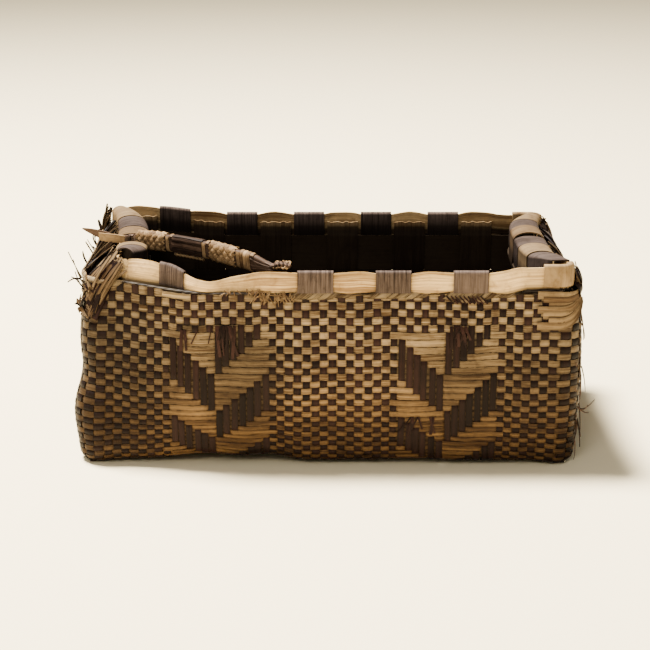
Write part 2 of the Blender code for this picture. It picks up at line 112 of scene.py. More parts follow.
def settle(x, y, z, layer):
    """Where years of use have moved the points of the new basket."""
    lean, pulled = layer
    depth_share = y / lining_half_depth
    front = smooth(1 - (1 + depth_share) / settled_front_share)
    top = smooth((z - lean_start) / (band_bottom - lean_start))
    end = 1 - np.minimum(np.abs(depth_share), 1) ** 4
    shift_x = -lean * end * top * (x / lining_half_length) ** 3
    left = smooth((-x - pull_start) / (straight_half_length - pull_start))
    shift_x += pulled * top * left * rim_pull * (1 - depth_share) / 2
    drift = smooth((x - drift_start) / drift_ease) * smooth((drift_end - x) / drift_ease)
    shift_x += pulled * top * front * rim_drift * drift
    far_left = smooth((-x - setback_start) / (lining_half_length - setback_start))
    tuck = smooth((-y - tuck_start) / (lining_half_depth - tuck_start))
    shift_x += corner_tuck * tuck * far_left * z / band_top
    shift_y = (base_setback + top_setback * z / band_top) * far_left * front
    above = smooth((z - rise_start) / (band_bottom - rise_start))
    shift_z = front_left_rise * far_left * front * above
    sprung = smooth((-x - 0.080) / 0.045) * smooth((y - 0.030) / 0.040)
    shift_z += back_left_rise * sprung * above
    raised = smooth((x - 0.100) / 0.035) * smooth((-y - 0.045) / 0.030)
    shift_z += pulled * front_right_rise * raised * above
    dip = dip_depth * (1 - smooth(np.abs(x - dip_place) / dip_reach))
    shift_z -= dip * front * np.maximum(z - band_bottom, 0) / (band_top - band_bottom)
    shift_z += foot_lift(x, y, z)
    return np.stack((x + shift_x, y + shift_y, z + shift_z), axis=-1)


def apart(point, centre, reach):
    """Squared distance of points from a centre, in shares of a reach along each axis."""
    return sum(((value - middle) / size) ** 2 for value, middle, size in zip(point, centre, reach))


def dent(x, y, z):
    """Shallow hollows and swellings of the worn walls, outwards from the new surface."""
    waves = 0.0005 * np.sin(31 * x + 47 * z + 1) * np.sin(23 * x - 71 * z + 2)
    waves += 0.0004 * np.sin(58 * x + 40 * y + 90 * z)
    for centre, reach, rise in wall_dents:
        waves += rise * np.exp(-apart((x, y, z), centre, reach))
    return waves * smooth((0.118 - z) / 0.02) * smooth(z / base_edge_radius)


def wall_surface(station, height, layer):
    grow = wall_bulge * np.sin(math.pi * np.minimum(height / cover_height, 1))
    grow = grow + dent(*lining_plan(station, grow), height)
    x, y = lining_plan(station, grow)
    return settle(x, y, height + 0 * x, layer)


def wall_normals(station, height, layer):
    aside, rise = 0.002, 0.0001
    across = wall_surface(station + aside, height, layer) - wall_surface(station - aside, height, layer)
    upward = wall_surface(station, height + rise, layer) - wall_surface(station, height - rise, layer)
    return unit(np.cross(across, upward))


def wall_points(station, height, offset, layer=COVER):
    """Points that stand off the middle of the settled lining."""
    station, height, offset = np.broadcast_arrays(station, height, offset)
    normal = wall_normals(station, height, layer)
    return wall_surface(station, height, layer) + normal * offset[..., None]


def edge_points(station, turn, offset, floor_height, layer):
    """Points round the basket's foot, from turn 0 at the floor to 1 at the wall."""
    station, turn, offset = np.broadcast_arrays(station, turn, offset)
    outward = wall_normals(station, base_edge_radius + 0 * turn, layer)
    outward[..., 2] = 0
    outward = unit(outward)
    radius = base_edge_radius - floor_height + offset
    points = wall_points(station, base_edge_radius + 0 * turn, offset, layer)
    points = points - outward * (radius * (1 - np.sin(turn * math.pi / 2)))[..., None]
    points[..., 2] = base_edge_radius - radius * np.cos(turn * math.pi / 2)
    points[..., 2] += foot_lift(points[..., 0], points[..., 1], points[..., 2])
    return points


def side_station(side, share):
    """Station on a straight side, from -1 to 1 along +X or +Y."""
    return 2 * side + (1 + SIDE_DIRECTIONS[side] * share) / 2


def front_station(x):
    return side_station(FRONT, x / straight_half_length)


def dress(piece, material, slot, *nodes, body="basket"):
    """Material, the body that the piece moves with, the record's slot, which is not used, and the nodes it
    stands for.
    """
    piece.data.materials.clear()
    piece.data.materials.append(material)
    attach(piece, body)
    if nodes:
        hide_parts(*nodes)


def splint_grid(name, points, along, across, tone, thickness, material, slot, *nodes, body="basket",
                gaps=None, soot=0):
    """Grid whose points take their places from an array, thickened to one flat splint or many."""
    rows, columns = points.shape[:2]
    bpy.ops.mesh.primitive_grid_add(x_subdivisions=columns - 1, y_subdivisions=rows - 1, size=1)
    piece = bpy.context.object
    piece.name = name
    mesh = piece.data
    mesh.vertices.foreach_set("co", points.astype(np.float32).ravel())
    corners = np.empty(len(mesh.loops), np.int32)
    mesh.loops.foreach_get("vertex_index", corners)
    place = np.empty((rows, columns, 2), np.float32)
    place[..., 0], place[..., 1] = along, across
    mesh.uv_layers.active.data.foreach_set("uv", place.reshape(-1, 2)[corners].ravel())
    for label, value in (("tone", tone), ("soot", soot)):
        shade = mesh.attributes.new(label, "FLOAT", "POINT")
        shade.data.foreach_set("value", np.broadcast_to(value, (rows, columns)).astype(np.float32).ravel())
    if gaps is not None:
        bpy.ops.object.mode_set(mode="EDIT")
        bpy.ops.mesh.select_all(action="DESELECT")
        bpy.ops.object.mode_set(mode="OBJECT")
        mesh.polygons.foreach_set("select", np.broadcast_to(gaps, (rows - 1, columns - 1)).ravel())
        bpy.ops.object.mode_set(mode="EDIT")
        bpy.ops.mesh.delete(type="FACE")
        bpy.ops.object.mode_set(mode="OBJECT")
    wall = piece.modifiers.new("thickness", "SOLIDIFY")
    wall.thickness = thickness
    wall.offset = 0
    bpy.ops.object.modifier_apply(modifier=wall.name)
    bpy.ops.object.shade_smooth_by_angle(angle=math.radians(50))
    dress(piece, material, slot, *nodes, body=body)


def gaps_after(count, size=3):
    """Marks the faces between one splint's lines of points and the next one's."""
    gaps = np.zeros(size * count - 1, bool)
    gaps[size - 1::size] = True
    return gaps


def travelled(points):
    """Distance along a line of points."""
    return np.concatenate(([0], np.cumsum(np.linalg.norm(np.diff(points, axis=0), axis=1))))


class Wire:
    """One output of a material's nodes, which joins in sums as a number does."""

    def __init__(self, recipe, socket):
        self.recipe, self.socket = recipe, socket

    def sum(self, operation, *values):
        return self.recipe.node("Math", {"operation": operation}, *values)

    def __add__(self, other):
        return self.sum("ADD", self, other)

    def __sub__(self, other):
        return self.sum("SUBTRACT", self, other)

    def __rsub__(self, other):
        return self.sum("SUBTRACT", other, self)

    def __mul__(self, other):
        return self.sum("MULTIPLY", self, other)

    def within(self, low, high):
        """0 below low, 1 above high, and smooth between."""
        return self.recipe.node("MapRange", {"interpolation_type": "SMOOTHSTEP"}, self, low, high, 0.0, 1.0)


class Recipe:
    """The nodes of one material, made one after the other."""

    def __init__(self, name, roughness=0.6):
        self.material = bpy.data.materials.new(name)
        self.material.use_nodes = True
        self.tree = self.material.node_tree
        self.shader = self.tree.nodes["Principled BSDF"]
        self.shader.inputs["Roughness"].default_value = roughness
        self.shader.inputs["Specular IOR Level"].default_value = 0.06

    def node(self, kind, settings=None, *values, output=0, **named):
        """Node of a type: its settings first, then its sockets by order or by name."""
        made = self.tree.nodes.new("ShaderNode" + kind)
        for key, value in (settings or {}).items():
            setattr(made, key, value)
        for key, value in list(enumerate(values)) + [(word.title(), named[word]) for word in named]:
            self.feed(made.inputs[key], value)
        return Wire(self, made.outputs[output])

    def feed(self, socket, value):
        if isinstance(value, Wire):
            self.tree.links.new(value.socket, socket)
        else:
            socket.default_value = value

    def attribute(self, name):
        return self.node("Attribute", {"attribute_name": name}, output=2)

    def uv(self, along, across):
        """The piece's own UV map, in metres along and across a splint, stretched."""
        return self.node("VectorMath", {"operation": "MULTIPLY"}, self.node("UVMap"), (along, across, 1))

    def place(self):
        return self.node("TexCoord", output=3)

    def noise(self, vector, scale, detail, rough):
        return self.node("TexNoise", None, vector=vector, scale=scale, detail=detail, roughness=rough)

    def mix(self, factor, low, high, blend="MIX"):
        made = self.tree.nodes.new("ShaderNodeMix")
        made.data_type, made.blend_type = "RGBA", blend
        for socket, value in ((0, factor), (6, low), (7, high)):
            self.feed(made.inputs[socket], value if isinstance(value, (Wire, float)) else (*value, 1))
        return Wire(self, made.outputs[2])

    def bump(self, height, strength, distance):
        made = self.node("Bump", None, strength=strength, distance=distance, height=height)
        self.feed(self.shader.inputs["Normal"], made)


# Near-black brown that each piece's darkening attribute mixes in: grime in some places, painted shade in
# others.
soot_brown = (0.0045, 0.0026, 0.0019)
fibre_scale, streak_scale, patch_scale, speck_scale = 60, 18, 42.0, 190.0
tint_top, tint_reach = 0.118, 0.1


def splint_finish(name, deep, pale, worn, fibre, contrast=1.0, roughness=0.55, relief=0.0003, lower_tint=None):
    """Split and scraped plant stem: fibres along it, its own tone, worn patches, and grime and painted shade.
    """
    recipe = Recipe(name)
    fibres = recipe.noise(recipe.uv(fibre_scale, 1 / fibre), 1.0, 4.0, 0.65)
    streaks = recipe.noise(recipe.uv(streak_scale, 0.3 / fibre), 1.0, 2.0, 0.5)
    tone = recipe.attribute("tone")
    light = (fibres - 0.5) * (1.3 * contrast) + (streaks - 0.5) * (0.9 * contrast) + tone * 0.7 + 0.15
    colour = recipe.mix(light.within(0.0, 1.0), deep, pale)
    # Lower down, the colour is multiplied towards a darker, more golden tint.
    if lower_tint is not None:
        height = recipe.node("SeparateXYZ", None, recipe.place(), output=2)
        lower = (tint_top - height).within(0.0, tint_reach)
        colour = recipe.mix(lower, colour, recipe.mix(1.0, colour, lower_tint, "MULTIPLY"))
    patches = recipe.noise(recipe.place(), patch_scale, 5.0, 0.62).within(0.50, 0.75) * 0.55
    specks = recipe.noise(recipe.place(), speck_scale, 3.0, 0.6).within(0.50, 0.80) * 0.45
    colour = recipe.mix(patches + specks, colour, worn)
    colour = recipe.mix(recipe.attribute("soot"), colour, soot_brown)
    recipe.feed(recipe.shader.inputs["Base Color"], colour)
    recipe.feed(recipe.shader.inputs["Roughness"], fibres * 0.25 + (roughness - 0.12))
    recipe.bump(fibres * 0.7 + streaks * 0.3, 0.7, relief)
    return recipe.material


wide_light = splint_finish(
    "wide light splint", (0.080, 0.042, 0.018), (0.28, 0.188, 0.095), (0.055, 0.027, 0.011), 0.0008)
wide_dark = splint_finish(
    "wide dark splint", (0.016, 0.010, 0.0075), (0.118, 0.083, 0.066), (0.015, 0.009, 0.006), 0.00045,
    contrast=1.25, roughness=0.6, relief=0.0006)

cross_count, long_count, weaver_count = 12, 6, 4
broken_stake, strap_stake = 3, 2
splint_gap, weave_offset, splint_thickness = 0.0023, 0.00065, 0.0009
weaver_pitch, weaver_gap = (stake_end - base_edge_radius) / weaver_count, 0.0004
fold_radius, arch_lift, arch_rise, arch_slack, ragged_edge = 0.0016, 0.0008, 0.0042, 0.0006, 0.0006
fold_end = border_top + fit_gap
foot_steps, crossing_steps = 5, 4
widths = np.linspace(-0.5, 0.5, 9)


def stake_line(count, half):
    """Centres and width of the stakes on a side."""
    pitch = 2 * half / count
    return [(index + 0.5) * pitch - half for index in range(count)], pitch - splint_gap


def alternate(number):
    return weave_offset if number % 2 == 0 else -weave_offset


# Lining rows below the rim band are fully darkened with grime and painted shade, so the inside is nearly
# black.
def wall_rows(stations, parity):
    rows = []
    for level in range(weaver_count):
        low = base_edge_radius + level * weaver_pitch + splint_gap / 2
        for height in np.linspace(low, low + weaver_pitch - splint_gap, crossing_steps):
            rows.append((wall_points(stations, height, alternate(parity + level), LINING), 1))
    return rows + [(wall_points(stations, stake_end, alternate(parity + weaver_count - 1), LINING), 1)]


def foot_rows(stations, floor_offset, wall_offset):
    turns = (np.arange(foot_steps) + 0.5) / foot_steps
    change = wall_offset - floor_offset
    return [(edge_points(stations, turn, floor_offset + change * turn, lining_floor, LINING), 1)
            for turn in turns]


def rising_rows(stations, rise, steps):
    """Rows up behind the rim band, at shares of a rise and each with its share of grime and painted shade."""
    return [(wall_points(stations, band_bottom + rise * step, 0, RIM), soot) for step, soot in steps]


def tucked_rows(stations):
    """Rows of a light stake's end, cut off behind the rim band."""
    rise = tucked_rise + ragged_edge * np.sin(stations * 400)
    # Grime and painted shade at the cut end's foot, fading out towards its top.
    return rising_rows(stations, rise, ((0, 1), (0.45, 0.85), (0.7, 0.25), (1, 0)))


def fold_rows(stations):
    """Rows up behind the rim band, over its top and down its face."""
    # Inside, grime and painted shade at the band's foot fade out towards its top; over the band the fold
    # keeps its own colour.
    rows = rising_rows(stations, band_top - band_bottom, ((0, 1), (0.3, 0.85), (0.6, 0.35), (0.85, 0)))
    for angle in np.linspace(0, math.pi, 9):
        rise = band_top + fold_radius * math.sin(angle)
        rows.append((wall_points(stations, rise, fold_radius * (1 - math.cos(angle)), RIM), 0))
    belly = 0.0005 * np.cos(np.linspace(-1.5, 1.5, len(stations)))
    for step in np.linspace(0.2, 1, 5):
        height = band_top + (fold_end - band_top) * step
        offset = 2 * fold_radius + belly * math.sin(step * math.pi) + 0.0002 * step
        rows.append((wall_points(stations, height, offset, RIM), 0))
    return rows


def arch_rows(stations):
    """Rows of a loose arch, from the leaning lining out over the rim band at an end."""
    rise_of_arch = arch_rise + rng.normal(0, arch_slack)
    inner = wall_points(stations, stake_end, 0, LINING)
    outer = wall_points(stations, band_top, 2 * fold_radius, RIM)
    outer[..., 2] += arch_lift
    rise = inner * (1, 1, 0) + outer * (0, 0, 1)
    # Grime and painted shade: nearly black where the arch rises from the lining, fading over the band and
    # half dark at its foot.
    rows = [(inner + (rise - inner) * step, soot) for step, soot in ((0.35, 0.95), (0.7, 0.7))]
    for angle in np.linspace(0, math.pi, 15):
        row = rise + (outer - rise) * (1 - math.cos(angle)) / 2
        front = smooth((-row[..., 1] - 0.057) / 0.016)
        row[..., 2] += rise_of_arch * math.sin(angle) * (1 - front)
        rows.append((row, max(0.85 - angle, 0.42)))
    foot = wall_points(stations, fold_end, 2 * fold_radius + fit_gap, RIM)
    return rows + [(outer + (foot - outer) * step, 0.45) for step in (0.3, 0.65, 1)]


def cut_rows(stations):
    """No rows, for an end that is cut off at the top of the wall."""
    return []


def half_stake(side, shares, floor_offset, parity, end_rows):
    stations = side_station(side, shares)
    rows = foot_rows(stations, floor_offset, alternate(parity)) + wall_rows(stations, parity)
    return rows + end_rows(stations)


def lay_splint(name, rows, across, tone, material, slot, node):
    """One wide splint through rows of points, each with its share of grime and painted shade."""
    points = np.stack([row for row, soot in rows])
    soot = np.minimum([soot for row, soot in rows], 0.94)[:, None]
    along = travelled(points[:, len(widths) // 2])[:, None] + rng.random()
    splint_grid(name, points, along, across + rng.random(), tone, splint_thickness, material, slot, node,
                soot=soot)


cross_centres, cross_width = stake_line(cross_count, straight_half_length)
long_centres, long_width = stake_line(long_count, straight_half_depth)
stake_lines = ((cross_centres, cross_width, straight_half_length),
               (long_centres, long_width, straight_half_depth))


def lay_stake(side, index, dark, near_end, far_end):
    """One stake, from its end on the front or the right across the floor to its other end."""
    centres, width, half = stake_lines[side]
    crossed, crossed_width, _ = stake_lines[1 - side]
    way, count = 1 - 2 * side, len(crossed)
    shares = (centres[index] + widths * width) / half
    rows = half_stake(side, shares, alternate(index), index + 1, near_end)[::-1]
    for crossing in range(count)[::way]:
        reach = way * crossed_width / 2
        for place in np.linspace(crossed[crossing] - reach, crossed[crossing] + reach, crossing_steps):
            place = np.broadcast_arrays(shares * half, place)[::way]
            height = lining_floor - alternate(index + crossing + side) + 0 * shares
            rows.append((settle(*place, height, LINING), 1))
    rows += half_stake(side + 2, shares, alternate(index + count - 1), index + count, far_end)
    material, slot = (wide_dark, "dark_splint") if dark else (wide_light, "light_splint")
    kind = ("cross", "long")[side]
    lay_splint(f"{kind}_splint_{index + 1}", rows, widths * width, rng.uniform(0.3, 0.8), material, slot,
               f"{kind}_stake_{index + 1}")


for index in range(cross_count):
    last = index == cross_count - 1
    dark = index % 2 == 1 and not last
    end = cut_rows if last else fold_rows if dark else tucked_rows
    lay_stake(FRONT, index, dark, cut_rows if index == broken_stake else end, end)
for index in range(long_count):
    lay_stake(RIGHT, index, index % 2 == 0, arch_rows, cut_rows if index == strap_stake else arch_rows)

for level in range(weaver_count):
    places, offsets = [], []
    for side in range(SIDES):
        centres, width, half = stake_lines[side % 2]
        for index, centre in list(enumerate(centres))[::SIDE_DIRECTIONS[side]]:
            edges = [side_station(side, (centre + step * width) / half) for step in (-0.5, -0.17, 0.17, 0.5)]
            places += sorted(edges)
            offsets += [alternate(index + level + (0 if side in (FRONT, RIGHT) else 1))] * len(edges)
        corner = [2 * side + 1 + step for step in (0.15, 0.3, 0.45, 0.6, 0.75, 0.9)]
        places += corner
        offsets += [0] * len(corner)
    places, offsets = np.array(places + places[:1]), np.array(offsets + offsets[:1])
    low = base_edge_radius + level * weaver_pitch + weaver_gap / 2
    heights = np.linspace(low, low + weaver_pitch - weaver_gap, 5)
    points = wall_points(places, heights[:, None], offsets, LINING)
    # The weavers are nearly all darkened too, grime and painted shade.
    splint_grid(f"wide_weaver_{level + 1}", points, travelled(points[2]), heights[:, None], rng.random(),
                splint_thickness, wide_light, "light_splint", f"wall_weaver_{level + 1}", soot=0.95)

# Fine plaited cover
# The outer skin: narrow dark uprights with honey-coloured rows woven through them, over
# one and under one. In two stepped figures on the front the dark ones float over six rows
# and the light ones lie in long stretches between them.
fine_dark = splint_finish(
    "fine dark splint", (0.0030, 0.0013, 0.0010), (0.029, 0.0122, 0.0095), (0.004, 0.0018, 0.0015), 0.0007,
    contrast=0.8, roughness=0.5, relief=0.0002)
fine_light = splint_finish(
    "fine honey splint", (0.062, 0.033, 0.013), (0.40, 0.288, 0.160), (0.042, 0.021, 0.010), 0.0006,
    contrast=1.35, roughness=0.45, lower_tint=(0.54, 0.41, 0.265))

plain_width, figure_width, first_upright_start = 0.00574, 0.0050, -0.0034
figure_axes, figure_reach, figure_half = (15, 43), range(-7, 9), 6
row_count, upper_row_count, figure_row = 29, 15, 5
cover_top, weave_depth, fine_thickness, edge_shade = border_top - 0.0006, 0.0006, 0.0007, 0.42
crown, fine_across = np.array((-0.00014, 0.0001, -0.00014)), np.array((-0.002, 0, 0.002))
figure_columns = {axis + step for axis in figure_axes for step in figure_reach}

stations = np.linspace(0, ROUND, 64 * ROUND + 1)
distances = travelled(np.stack(lining_plan(stations), axis=1))
perimeter = distances[-1]
plain_count = round((perimeter - len(figure_columns) * figure_width) / plain_width / 2) * 2
upright_count = plain_count + len(figure_columns)
upright_widths = np.full(upright_count, plain_width)
upright_widths[list(figure_columns)] = figure_width
upright_widths *= perimeter / upright_widths.sum()
upright_edges = first_upright_start + np.concatenate(([0], np.cumsum(upright_widths)))
upright_centres = (upright_edges[1:] + upright_edges[:-1]) / 2


def station_at(distance):
    return np.interp(distance % perimeter, distances, stations)


def floats_outside(across, row):
    """True where the stepped figure's upright lies over a light row."""
    for start in (-2 * figure_half, 0, 2 * figure_half):
        rising = -figure_half <= across < 0 and 1 <= row - start - across - figure_half <= figure_half
        falling = 0 <= across <= figure_half and 0 <= row - start + across - 2 * figure_half < figure_half
        if rising or falling:
            return True
    return False


def upright_outside(upright, row):
    for axis in figure_axes:
        if abs(upright - axis) <= figure_half and row >= figure_row:
            return floats_outside(upright - axis, row - figure_row)
    return (upright + row) % 2 == 0


outside = np.array([[upright_outside(i, j) for i in range(upright_count)] for j in range(row_count)])
relief = np.where(outside, 1.0, -1.0)
cover_middle = (cover_inside + cover_outside) / 2
foot_length = base_edge_radius * math.pi / 2
row_pitches = np.linspace(0.0049, 0.0032, row_count)
row_pitches *= (cover_top - base_edge_radius + foot_length) / row_pitches.sum()
row_edges = np.concatenate(([0], np.cumsum(row_pitches)))


def cover_points(distance, down, offset):
    """Points on the cover, a distance round it and a distance down from its top edge."""
    distance, down, offset = np.broadcast_arrays(distance, down, offset)
    station = station_at(distance)
    height = cover_top - down + 0.0004 * np.sin(distance * 71 + down * 30) + 0.0003 * np.sin(distance * 173)
    wall = wall_points(station, np.maximum(height, base_edge_radius), cover_middle + offset)
    turn = 1 - np.clip((base_edge_radius - height) / foot_length, 0, 1)
    foot = edge_points(station, turn, cover_middle + offset, cover_outside, COVER)
    return np.where((turn < 1)[..., None], foot, wall)


def crossing_places(edges, widths):
    """Places a quarter and three quarters of the way over each crossing, and at its end."""
    return np.stack((edges[:-1] + widths / 4, edges[:-1] + widths * 3 / 4, edges[1:]), axis=1).ravel()


def between(values):
    """Values on both sides of a line of crossings, and halfway between one and the next."""
    after = np.concatenate((values[1:], values[-1:]))
    return np.stack((values, values, (values + after) / 2), axis=1).reshape(-1, *values.shape[1:])


# Darker marks on the front: the two broad ones at the ends are painted shade, the long low one darkens the
# whole front towards the foot, and the rest are stain marks.
stain_and_shade_places = (
    ((-0.042, -0.09, 0.006), (0.035, 0.03, 0.010), 0.85),
    ((0.028, -0.09, 0.004), (0.022, 0.03, 0.007), 0.8),
    ((-0.088, -0.09, 0.0975), (0.011, 0.02, 0.0028), 0.75),
    ((-0.120, -0.09, 0.030), (0.010, 0.03, 0.030), 0.45),
    ((-0.150, -0.07, 0.050), (0.064, 0.08, 0.074), 0.72),
    ((0.150, -0.06, 0.040), (0.064, 0.07, 0.070), 0.60),
    ((-0.055, -0.09, 0.060), (0.032, 0.03, 0.045), 0.60),
    ((0.0, -0.09, 0.0), (0.20, 0.03, 0.042), 0.42),
    ((0.090, -0.09, 0.050), (0.030, 0.03, 0.045), 0.50))


def stains_and_shade(points):
    """Grime and painted shadow on the worn foot of the cover, and stain marks and painted shade higher up its
    front.
    """
    place = np.moveaxis(points, -1, 0)
    # The foot is darkened nearly black: grime and painted shadow where it meets the ground.
    darkening = 0.98 * smooth((0.0120 - place[2]) / 0.0110)
    for centre, reach, strength in stain_and_shade_places:
        darkening = np.maximum(darkening, strength * np.exp(-apart(place, centre, reach) ** 2))
    return darkening


def shaded_edges_and_stains(points, height):
    """Painted shade along both edges of the splints, three columns each, and where they dive under, over the
    stain marks and painted shade of the front.
    """
    edges = np.resize((edge_shade, 0.0, edge_shade), points.shape[1])
    edges = edges + (1 - edges) * 0.5 * smooth(-height / weave_depth)
    return 1 - (1 - stains_and_shade(points)) * (1 - edges)


def float_tones(covered, spread):
    """One random tone for each stretch that shows, along the first axis."""
    tones = rng.random(covered.shape)
    for line in range(1, len(covered)):
        held = covered[line] & covered[line - 1]
        tones[line] = np.where(held, tones[line - 1], tones[line])
    return 0.5 + (tones - 0.5) * spread


# Uprights, from the rim down round the foot
down = np.concatenate(([0], crossing_places(row_edges, row_pitches)))
height_of = np.concatenate((relief[:1], between(relief))) * weave_depth
drift = np.cumsum(rng.normal(0, 0.00005, (len(down), upright_count)), axis=0)
half_widths = upright_widths * 0.5 * rng.uniform(0.76, 0.86, upright_count)
columns = (upright_centres + drift)[:, :, None] + half_widths[:, None] * (-1, 0, 1)
offset = height_of[:, :, None] + crown
points = cover_points(columns.reshape(len(down), -1), down[:, None], offset.reshape(len(down), -1))
tones = float_tones(outside, 0.9) * 0.6 + rng.random(upright_count) * 0.4
tones = np.repeat(np.concatenate((tones[:1], between(tones))), 3, axis=1)
starts = np.repeat(rng.random(upright_count), 3)
splint_grid("cover_uprights", points[::-1], down[::-1, None] + starts,
            np.tile(fine_across, upright_count) + starts * 9, tones[::-1], fine_thickness, fine_dark,
            "fine_weave", "outer_cover", gaps=gaps_after(upright_count),
            soot=shaded_edges_and_stains(points, np.repeat(height_of, 3, axis=1))[::-1])

# Rows, each a ring round the basket
around = crossing_places(upright_edges, upright_widths)
around = np.concatenate((around[-1:] - perimeter, around))
ring = -between(np.concatenate((relief.T, relief.T[:1])))[:3 * upright_count]
ring = np.concatenate((ring[-1:], ring)).T * weave_depth
row_tones = between(float_tones(~outside.T, 0.8))[:3 * upright_count]
row_tones = np.concatenate((row_tones[-1:], row_tones)).T * 0.65 + rng.random((row_count, 1)) * 0.35
for part, rows in (("upper", np.arange(upper_row_count)), ("lower", np.arange(upper_row_count, row_count))):
    tremble = rng.normal(0, 0.00012, (len(rows), 1, len(around)))
    lines = row_edges[rows][:, None] + row_pitches[rows][:, None] * (0.04, 0.5, 0.96)
    lines = (lines[:, :, None] + tremble).reshape(-1, len(around))
    offset = np.repeat(ring[rows], 3, axis=0) + np.tile(crown, len(rows))[:, None]
    points = cover_points(around, lines, offset)
    starts = np.repeat(rng.random((len(rows), 1)), 3, axis=0)
    soot = shaded_edges_and_stains(points.transpose(1, 0, 2), np.repeat(ring[rows], 3, axis=0).T).T
    splint_grid(f"cover_rows_{part}", points[::-1], around + starts[::-1], lines[::-1] + starts[::-1] * 9,
                np.repeat(row_tones[rows], 3, axis=0)[::-1], fine_thickness, fine_light, "fine_weave",
                gaps=gaps_after(len(rows))[:, None], soot=soot[::-1])

# Floor, woven of the same dark splints in both directions
floor_half_length, floor_half_depth, floor_middle = 0.1600, 0.0830, 0.0011
for direction in range(2):
    half, short_half = (floor_half_length, floor_half_depth)[::1 - 2 * direction]
    crossings, strips = round(2 * half / plain_width), round(2 * short_half / plain_width)
    along_pitch, across_pitch = 2 * half / crossings, 2 * short_half / strips
    across = (np.arange(strips)[:, None] + 0.5 + (-0.485, 0, 0.485)).ravel() * across_pitch - short_half
    along = (np.arange(crossings)[:, None] + (0.25, 0.75, 1.0)).ravel() * along_pitch - half
    over = np.where((np.arange(crossings)[:, None] + np.arange(strips) + direction) % 2, 1.0, -1.0)
    height = floor_middle + np.repeat(between(over), 3, axis=1) * weave_depth * 0.8
    along, across = np.broadcast_arrays(along[:, None], across)
    points = settle(*(along, across)[::1 - 2 * direction], height, COVER)
    splint_grid(f"cover_floor_{direction + 1}", points, along, across, np.repeat(rng.random(strips), 3),
                fine_thickness, fine_dark, "fine_weave", gaps=gaps_after(strips))

# Folded border of the cover
# The ends of the cover's splints, folded slantwise over its top edge and tucked under one
# another, so that they lie along it like short leaning wraps. Most of those on the front
# are broken off short, and dark.
wrap_widths, wrap_lengths, broken_length, wrap_lean = (0.0035, 0.0080), (0.0036, 0.0056), 0.0012, 0.0035
broken_from, broken_to, whole_places, whole_reach = 0.007, 0.300, (-0.006, 0.045, 0.097), 0.020
share = np.linspace(-1, 1, 5)
wraps, tones, darkening = [], [], []
position = 0.0
while position < perimeter:
    width = rng.uniform(*wrap_widths)
    length = rng.uniform(*wrap_lengths)
    whole = any(abs(position - straight_half_length - place) < whole_reach for place in whole_places)
    broken = broken_from < position < broken_to and not whole
    if broken:
        length = broken_length
    for side_share in (-1, 0, 1):
        distance = position + width * (0.5 + side_share * 0.47) + wrap_lean * share
        height = border_top + 0.0006 - length * (1 - share) / 2
        bulge = 0.0013 * (1 - share ** 2) - 0.0002 * abs(side_share)
        wraps.append(wall_points(station_at(distance), height, cover_middle + 0.0003 + bulge))
    tones += [rng.random()] * 3
    # Broken wraps are darkened nearly black all over, whole ones darker towards their lower ends.
    darkening += [0.93 + 0 * share if broken else 0.25 + 0.3 * (1 - share)] * 3
    position += width * 1.03
tones, wrap_count = np.array(tones)[::-1, None], len(wraps) // 3
splint_grid("cover_border_wraps", np.stack(wraps)[::-1], share * 0.004 + tones * 9,
            np.tile(fine_across, wrap_count)[:, None], tones, 0.0006, fine_light, "fine_weave",
            "cover_border", gaps=gaps_after(wrap_count)[:, None], soot=np.array(darkening)[::-1])

# Rim band
# One wide pale splint standing round the mouth, held by the dark splints folded over it.
# Between the folds it springs outwards and up, and its edges are no longer even.
rim_light = splint_finish(
    "pale rim splint", (0.23, 0.125, 0.048), (0.88, 0.60, 0.28), (0.15, 0.075, 0.030), 0.0007,
    contrast=1.3, roughness=0.42)
band_thickness, spring_reach, spring_rise, band_overhang = 0.0011, 0.0145, 0.0014, 0.0022
places = np.linspace(0, ROUND, 641)
x, spring = lining_plan(places)[0], np.zeros(len(places))
for side in (FRONT, BACK):
    on_side = (places >= 2 * side) & (places <= 2 * side + 1)
    for centre in cross_centres[::2]:
        near = np.clip(1 - ((x - centre) / spring_reach) ** 2, 0, 1)
        spring = np.where(on_side, np.maximum(spring, near), spring)
heights = np.linspace(0, 1, 6)[:, None]
wave = 0.0003 * np.sin(places * 37.0) + 0.0002 * np.sin(places * 91.0 + 1)
level = band_bottom + (band_top - band_bottom) * heights
level = level + (spring_rise * spring + wave) * heights + (wave - band_overhang) * (1 - heights)
points = wall_points(places, level, fold_radius + spring * (0.0016 + 0.0012 * np.sin(heights * math.pi)), RIM)
# Painted shade: the band darkens sharply towards its lower edge, where it stands off the cover, and wherever
# it does not spring out; its top edge is a little darker.
splint_grid("rim_band_splint", points, places / ROUND * perimeter, heights * (band_top - band_bottom),
            0.5 + 0.3 * np.sin(places * 9), band_thickness, rim_light, "rim_splint", "rim_band",
            soot=0.90 * (1 - heights) ** 7 + 0.14 * heights ** 6 + 0.22 * (1 - spring) ** 2)

# Its inner face, the second half of its points, is darker low down, with grime and painted shade.
soot = bpy.data.objects["rim_band_splint"].data.attributes["soot"].data
values = np.empty(len(soot), np.float32)
soot.foreach_get("value", values)
values[len(values) // 2:] = (0.4 + 0.57 * smooth((0.62 - heights) / 0.45) + 0 * places).ravel()
soot.foreach_set("value", values)

